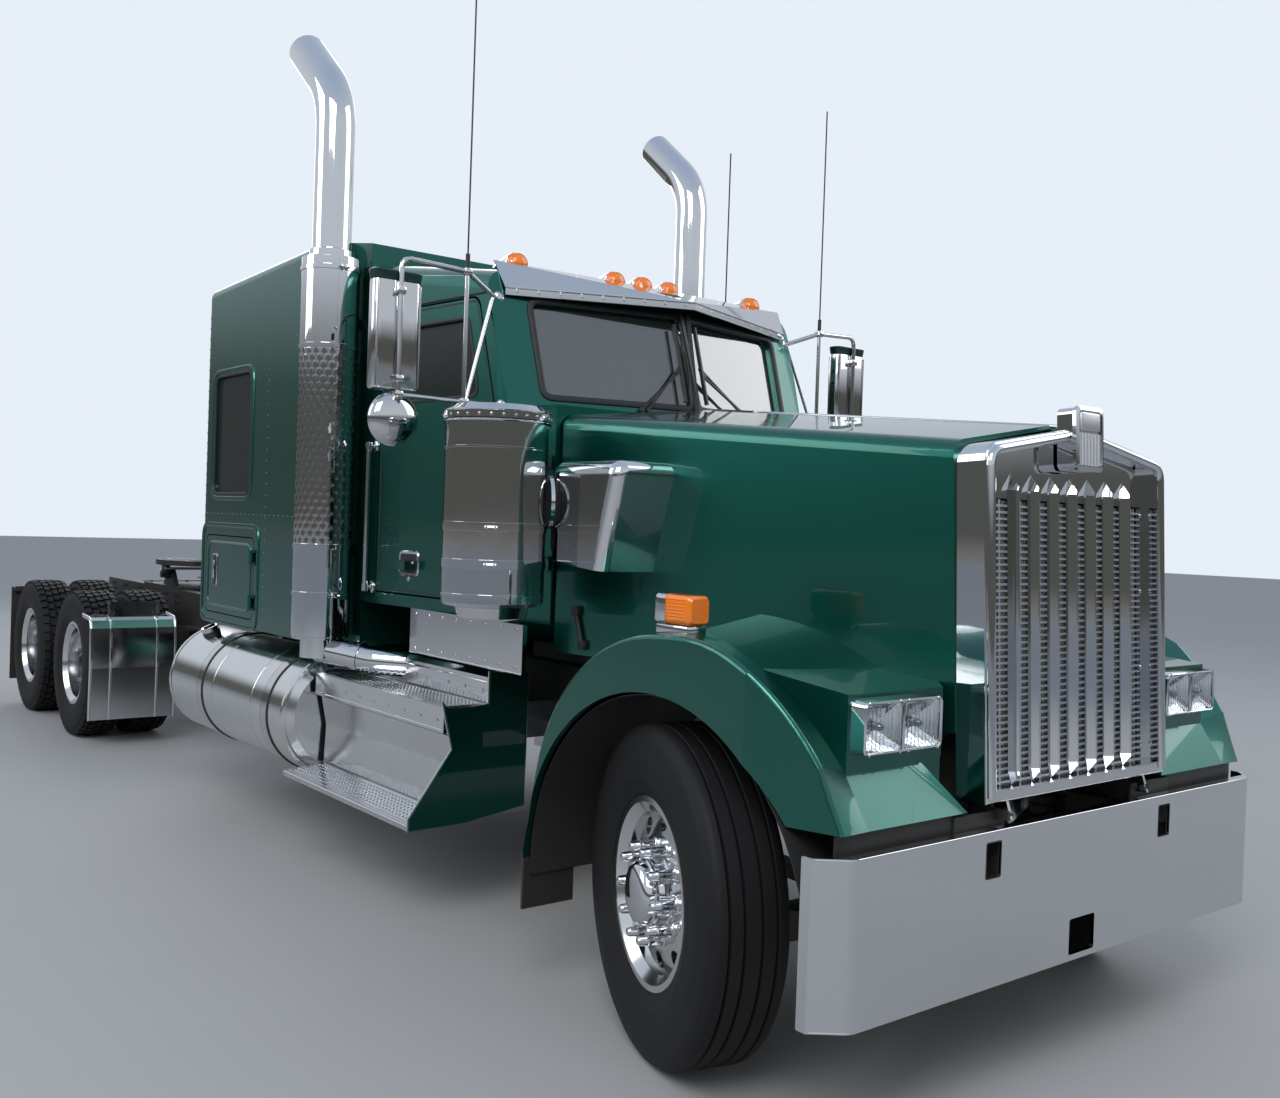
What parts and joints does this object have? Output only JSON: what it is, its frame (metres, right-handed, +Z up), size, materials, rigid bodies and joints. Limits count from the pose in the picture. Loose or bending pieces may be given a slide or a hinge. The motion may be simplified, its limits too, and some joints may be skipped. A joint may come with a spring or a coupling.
{
  "type": "semi truck tractor unit",
  "caption": "Long-nose highway tractor with a raised-roof sleeper, tilting hood, steered front wheels, twin-tyred drive axles and a fifth wheel coupler.",
  "frame": {"origin": "on the ground under the middle of the truck's box", "axes": "+Z up, the truck faces -Y, +X is the driver's side"},
  "size_m": [2.832, 9.36, 4.0099],
  "materials": {
    "green_paint": "metallic clear coat",
    "bright_chrome": "mirror",
    "polished_steel": "polished",
    "polished_aluminium": "polished",
    "mesh_steel": "satin",
    "chassis_black": "satin",
    "engine_grey": "matte",
    "tyre_rubber": "matte",
    "flap_rubber": "matte",
    "dark_glass": "tinted",
    "amber_plastic": "clear moulded",
    "red_plastic": "clear moulded",
    "black_plastic": "moulded",
    "seat_leather": "grained"
  },
  "bodies": {
    "chassis": {"aerials": "black_plastic", "air_cleaners": "polished_steel", "cab_shell": "green_paint", "cab_steps": "polished_aluminium", "dashboard": "black_plastic", "deck_plate": "polished_aluminium", "drive_axles": "chassis_black", "engine": "engine_grey", "exhaust_stacks": "bright_chrome", "fifth_wheel_base": "chassis_black", "frame_rails": "chassis_black", "front_axle": "chassis_black", "front_bumper": "bright_chrome", "fuel_tanks": "polished_aluminium", "grab_rails": "polished_steel", "intake_boots": "flap_rubber", "mirrors": "polished_steel", "quarter_fenders": "polished_steel", "radiator": "engine_grey", "rear_mud_flaps": "flap_rubber", "roof_lamps": "amber_plastic", "seats": "seat_leather", "sill_panels": "polished_steel", "sleeper_glass": "dark_glass", "sleeper_shell": "green_paint", "sun_visor": "polished_steel", "tail_lamps": "red_plastic", "tank_straps": "polished_steel", "windshield": "dark_glass", "wipers": "black_plastic"},
    "hood": {"hood_panel": "green_paint", "front_fenders": "green_paint", "grille_shell": "bright_chrome", "grille_bars": "bright_chrome", "grille_mesh": "mesh_steel", "headlamps": "bright_chrome", "turn_lamps": "amber_plastic", "intake_boxes": "bright_chrome", "fender_flaps": "flap_rubber"},
    "door_left": {"door_left": "green_paint", "door_glass_left": "dark_glass"},
    "luggage_door_left": {"luggage_door_left": "green_paint"},
    "knuckle_left": {"steering_knuckle_left": "chassis_black"},
    "front_wheel_left": {"front_rim_left": "polished_aluminium", "front_tyre_left": "tyre_rubber"},
    "drive_wheel_front_left": {"drive_rims_front_left": "polished_aluminium", "drive_tyres_front_left": "tyre_rubber"},
    "drive_wheel_rear_left": {"drive_rims_rear_left": "polished_aluminium", "drive_tyres_rear_left": "tyre_rubber"},
    "door_right": {"door_right": "green_paint", "door_glass_right": "dark_glass"},
    "luggage_door_right": {"luggage_door_right": "green_paint"},
    "knuckle_right": {"steering_knuckle_right": "chassis_black"},
    "front_wheel_right": {"front_rim_right": "polished_aluminium", "front_tyre_right": "tyre_rubber"},
    "drive_wheel_front_right": {"drive_rims_front_right": "polished_aluminium", "drive_tyres_front_right": "tyre_rubber"},
    "drive_wheel_rear_right": {"drive_rims_rear_right": "polished_aluminium", "drive_tyres_rear_right": "tyre_rubber"},
    "coupler": {"fifth_wheel_plate": "chassis_black"}
  },
  "joints": [
    {"name": "hood_tilt", "type": "hinge", "parent": "chassis", "child": "hood", "pos_m": [0, -4.657, 0.848], "axis": [1, 0, 0], "range_deg": [0, 80]},
    {"name": "door_left_hinge", "type": "hinge", "parent": "chassis", "child": "door_left", "pos_m": [0.884, -2.469, 1.5], "axis": [0, 0, -1], "range_deg": [0, 60]},
    {"name": "luggage_door_left_hinge", "type": "hinge", "parent": "chassis", "child": "luggage_door_left", "pos_m": [1.098, -0.418, 1.2], "axis": [0, 0, -1], "range_deg": [0, 90]},
    {"name": "steer_left", "type": "hinge", "parent": "chassis", "child": "knuckle_left", "pos_m": [0.92, -3.915, 0.527], "axis": [0, 0, 1], "range_deg": [-20.8, 55.2]},
    {"name": "front_wheel_left_spin", "type": "hinge", "parent": "knuckle_left", "child": "front_wheel_left", "pos_m": [0.92, -3.915, 0.527], "axis": [0.9553, -0.2957, 0], "continuous": true},
    {"name": "drive_wheel_front_left_spin", "type": "hinge", "parent": "chassis", "child": "drive_wheel_front_left", "pos_m": [1.07, 2.755, 0.527], "axis": [1, 0, 0], "continuous": true},
    {"name": "drive_wheel_rear_left_spin", "type": "hinge", "parent": "chassis", "child": "drive_wheel_rear_left", "pos_m": [1.07, 4.075, 0.527], "axis": [1, 0, 0], "continuous": true},
    {"name": "door_right_hinge", "type": "hinge", "parent": "chassis", "child": "door_right", "pos_m": [-0.884, -2.469, 1.5], "axis": [0, 0, 1], "range_deg": [0, 60]},
    {"name": "luggage_door_right_hinge", "type": "hinge", "parent": "chassis", "child": "luggage_door_right", "pos_m": [-1.098, -0.418, 1.2], "axis": [0, 0, 1], "range_deg": [0, 90]},
    {"name": "steer_right", "type": "hinge", "parent": "chassis", "child": "knuckle_right", "pos_m": [-0.92, -3.915, 0.527], "axis": [0, 0, 1], "range_deg": [-20.8, 55.2]},
    {"name": "front_wheel_right_spin", "type": "hinge", "parent": "knuckle_right", "child": "front_wheel_right", "pos_m": [-0.92, -3.915, 0.527], "axis": [0.9553, -0.2957, 0], "continuous": true},
    {"name": "drive_wheel_front_right_spin", "type": "hinge", "parent": "chassis", "child": "drive_wheel_front_right", "pos_m": [-1.07, 2.755, 0.527], "axis": [1, 0, 0], "continuous": true},
    {"name": "drive_wheel_rear_right_spin", "type": "hinge", "parent": "chassis", "child": "drive_wheel_rear_right", "pos_m": [-1.07, 4.075, 0.527], "axis": [1, 0, 0], "continuous": true},
    {"name": "coupler_pitch", "type": "hinge", "parent": "chassis", "child": "coupler", "pos_m": [0, 3.215, 1.15], "axis": [1, 0, 0], "range_deg": [-10, 10]}
  ],
  "couplings": [
    {"joint": "steer_left", "follows": "steer_right", "ratio": 1}
  ]
}
